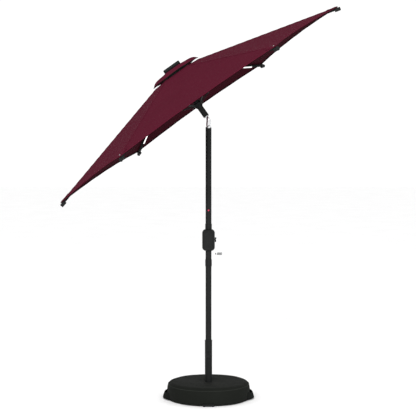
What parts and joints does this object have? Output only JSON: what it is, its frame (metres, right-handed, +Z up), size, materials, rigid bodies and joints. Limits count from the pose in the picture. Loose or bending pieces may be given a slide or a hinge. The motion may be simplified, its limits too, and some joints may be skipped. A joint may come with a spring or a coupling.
{
  "type": "patio umbrella with base",
  "caption": "Tilting crank patio umbrella: hexagonal vented canopy on folding ribs, solar light box, jointed pole and round sand-weighted base.",
  "frame": {"origin": "on the floor under the mast, at the centre foot of the base", "axes": "+Z up along the mast, -Y towards the front where the clamp knob, the switch and the tilt button face, +X to the crank's side; the canopy is stored tipped 35.25 degrees towards -X"},
  "size_m": [1.6436, 1.742, 2.3046],
  "materials": {
    "black_paint": "satin black powder coat",
    "black_plastic": "fine-textured black moulding",
    "cast_silver": "tumbled die-cast",
    "bright_steel": "zinc plated",
    "foot_rubber": "matte",
    "bag_cloth": "coated black woven polyester",
    "webbing": "black webbing",
    "sand": "loose dry sand",
    "canopy_cloth": "burgundy woven polyester",
    "cord": "burgundy braided cord",
    "led": "milky silicone strip",
    "solar_cell": "dark blue cell under clear resin",
    "switch_red": "red button",
    "grip_grey": "grey moulding"
  },
  "bodies": {
    "base": {"base_cross": "black_paint", "base_feet": "foot_rubber", "stand_tube": "black_paint", "flange_bolts": "bright_steel", "tube_liner": "black_plastic", "stand_screws": "black_paint", "weight_bag": "bag_cloth", "sand_fill": "sand", "bag_handles": "webbing"},
    "knob": {"clamp_knob": "black_plastic"},
    "mast": {"lower_pole": "black_paint", "middle_pole": "black_paint", "housing_front": "black_plastic", "housing_rear": "black_plastic", "housing_screws": "bright_steel", "pole_collars": "black_plastic", "switch_bezel": "black_plastic", "tilt_clevis": "cast_silver", "tilt_pin": "bright_steel", "cord_lower": "cord", "cord_bend": "cord"},
    "switch": {"light_switch": "switch_red"},
    "lock_button": {"tilt_button": "black_plastic"},
    "crank": {"crank_shaft": "bright_steel", "crank_fittings": "black_plastic"},
    "grip": {"crank_grip": "grip_grey"},
    "upper_mast": {"upper_pole": "black_paint", "tilt_knuckle": "cast_silver", "crown_hub": "black_plastic", "vent_cap": "canopy_cloth", "solar_housing": "black_plastic", "solar_panel": "solar_cell", "cord_upper": "cord", "canopy_folds": "canopy_cloth"},
    "pulley": {"cord_pulley": "bright_steel"},
    "slider": {"runner": "black_plastic"},
    "rib_arm_1": {"rib_1": "black_paint", "led_strip_1": "led", "canopy_panel_1": "canopy_cloth"},
    "rib_arm_2": {"rib_2": "black_paint", "led_strip_2": "led", "canopy_panel_2": "canopy_cloth"},
    "rib_arm_3": {"rib_3": "black_paint", "led_strip_3": "led", "canopy_panel_3": "canopy_cloth"},
    "rib_arm_4": {"rib_4": "black_paint", "led_strip_4": "led", "canopy_panel_4": "canopy_cloth"},
    "rib_arm_5": {"rib_5": "black_paint", "led_strip_5": "led", "canopy_panel_5": "canopy_cloth"},
    "rib_arm_6": {"rib_6": "black_paint", "led_strip_6": "led", "canopy_panel_6": "canopy_cloth"},
    "strut_arm_1": {"strut_1": "black_paint"},
    "strut_arm_2": {"strut_2": "black_paint"},
    "strut_arm_3": {"strut_3": "black_paint"},
    "strut_arm_4": {"strut_4": "black_paint"},
    "strut_arm_5": {"strut_5": "black_paint"},
    "strut_arm_6": {"strut_6": "black_paint"}
  },
  "joints": [
    {"name": "mast_swivel", "type": "hinge", "parent": "base", "child": "mast", "pos_m": [0, 0, 0.3], "axis": [0, 0, 1], "continuous": true},
    {"name": "clamp_turn", "type": "hinge", "parent": "base", "child": "knob", "pos_m": [0, -0.03, 0.262], "axis": [0, -1, 0], "continuous": true},
    {"name": "switch_press", "type": "slide", "parent": "mast", "child": "switch", "axis": [0, 1, 0], "range_m": [0, 0.0015], "stiffness_N_per_m": 600, "springref_m": -0.003},
    {"name": "tilt_button_press", "type": "slide", "parent": "mast", "child": "lock_button", "axis": [0, 1, 0], "range_m": [0, 0.0018], "stiffness_N_per_m": 900, "springref_m": -0.003},
    {"name": "canopy_tilt", "type": "hinge", "parent": "mast", "child": "upper_mast", "pos_m": [0, 0, 1.649], "axis": [0, 1, 0], "range_deg": [0, 35.25], "deforming": ["cord_bend"]},
    {"name": "runner_slide", "type": "slide", "parent": "upper_mast", "child": "slider", "axis": [0.5771, 0, -0.8166], "range_m": [0, 0.06], "deforming": ["cord_upper", "canopy_folds"]},
    {"name": "crank_turn", "type": "hinge", "parent": "mast", "child": "crank", "pos_m": [0, 0, 0.943], "axis": [-1, 0, 0], "range_deg": [0, 330]},
    {"name": "grip_spin", "type": "hinge", "parent": "crank", "child": "grip", "pos_m": [0.064, 0, 0.86], "axis": [1, 0, 0], "continuous": true},
    {"name": "pulley_spin", "type": "hinge", "parent": "upper_mast", "child": "pulley", "pos_m": [-0.17083, 0, 1.89073], "axis": [0, -1, 0], "range_deg": [0, 375]},
    {"name": "rib_fold_1", "type": "hinge", "parent": "upper_mast", "child": "rib_arm_1", "pos_m": [-0.17394, 0, 1.94363], "axis": [0, 1, 0], "range_deg": [0, 5.3]},
    {"name": "rib_fold_2", "type": "hinge", "parent": "upper_mast", "child": "rib_arm_2", "pos_m": [-0.18537, 0.02425, 1.93555], "axis": [-0.7072, 0.5, -0.4998], "range_deg": [0, 5.3]},
    {"name": "rib_fold_3", "type": "hinge", "parent": "upper_mast", "child": "rib_arm_3", "pos_m": [-0.20824, 0.02425, 1.91939], "axis": [-0.7072, -0.5, -0.4998], "range_deg": [0, 5.3]},
    {"name": "rib_fold_4", "type": "hinge", "parent": "upper_mast", "child": "rib_arm_4", "pos_m": [-0.21967, 0, 1.91131], "axis": [0, -1, 0], "range_deg": [0, 5.3]},
    {"name": "rib_fold_5", "type": "hinge", "parent": "upper_mast", "child": "rib_arm_5", "pos_m": [-0.20824, -0.02425, 1.91939], "axis": [0.7072, -0.5, 0.4998], "range_deg": [0, 5.3]},
    {"name": "rib_fold_6", "type": "hinge", "parent": "upper_mast", "child": "rib_arm_6", "pos_m": [-0.18537, -0.02425, 1.93555], "axis": [0.7072, 0.5, 0.4998], "range_deg": [0, 5.3]},
    {"name": "strut_fold_1", "type": "hinge", "parent": "slider", "child": "strut_arm_1", "pos_m": [-0.03947, 0, 1.75336], "axis": [0, -1, 0], "range_deg": [0, 4.7]},
    {"name": "strut_fold_2", "type": "hinge", "parent": "slider", "child": "strut_arm_2", "pos_m": [-0.0509, 0.02425, 1.74528], "axis": [0.7072, -0.5, 0.4998], "range_deg": [0, 4.7]},
    {"name": "strut_fold_3", "type": "hinge", "parent": "slider", "child": "strut_arm_3", "pos_m": [-0.07376, 0.02425, 1.72912], "axis": [0.7072, 0.5, 0.4998], "range_deg": [0, 4.7]},
    {"name": "strut_fold_4", "type": "hinge", "parent": "slider", "child": "strut_arm_4", "pos_m": [-0.0852, 0, 1.72104], "axis": [0, 1, 0], "range_deg": [0, 4.7]},
    {"name": "strut_fold_5", "type": "hinge", "parent": "slider", "child": "strut_arm_5", "pos_m": [-0.07376, -0.02425, 1.72912], "axis": [-0.7072, 0.5, -0.4998], "range_deg": [0, 4.7]},
    {"name": "strut_fold_6", "type": "hinge", "parent": "slider", "child": "strut_arm_6", "pos_m": [-0.0509, -0.02425, 1.74528], "axis": [-0.7072, -0.5, -0.4998], "range_deg": [0, 4.7]}
  ],
  "couplings": [
    {"joint": "crank_turn", "follows": "runner_slide", "rad_per_m": 95.238},
    {"joint": "pulley_spin", "follows": "runner_slide", "rad_per_m": 108.7},
    {"joint": "rib_fold_1", "follows": "runner_slide", "rad_per_m": 1.5232},
    {"joint": "rib_fold_2", "follows": "runner_slide", "rad_per_m": 1.5232},
    {"joint": "rib_fold_3", "follows": "runner_slide", "rad_per_m": 1.5232},
    {"joint": "rib_fold_4", "follows": "runner_slide", "rad_per_m": 1.5232},
    {"joint": "rib_fold_5", "follows": "runner_slide", "rad_per_m": 1.5232},
    {"joint": "rib_fold_6", "follows": "runner_slide", "rad_per_m": 1.5232},
    {"joint": "strut_fold_1", "follows": "runner_slide", "rad_per_m": 1.3317},
    {"joint": "strut_fold_2", "follows": "runner_slide", "rad_per_m": 1.3317},
    {"joint": "strut_fold_3", "follows": "runner_slide", "rad_per_m": 1.3317},
    {"joint": "strut_fold_4", "follows": "runner_slide", "rad_per_m": 1.3317},
    {"joint": "strut_fold_5", "follows": "runner_slide", "rad_per_m": 1.3317},
    {"joint": "strut_fold_6", "follows": "runner_slide", "rad_per_m": 1.3317}
  ]
}
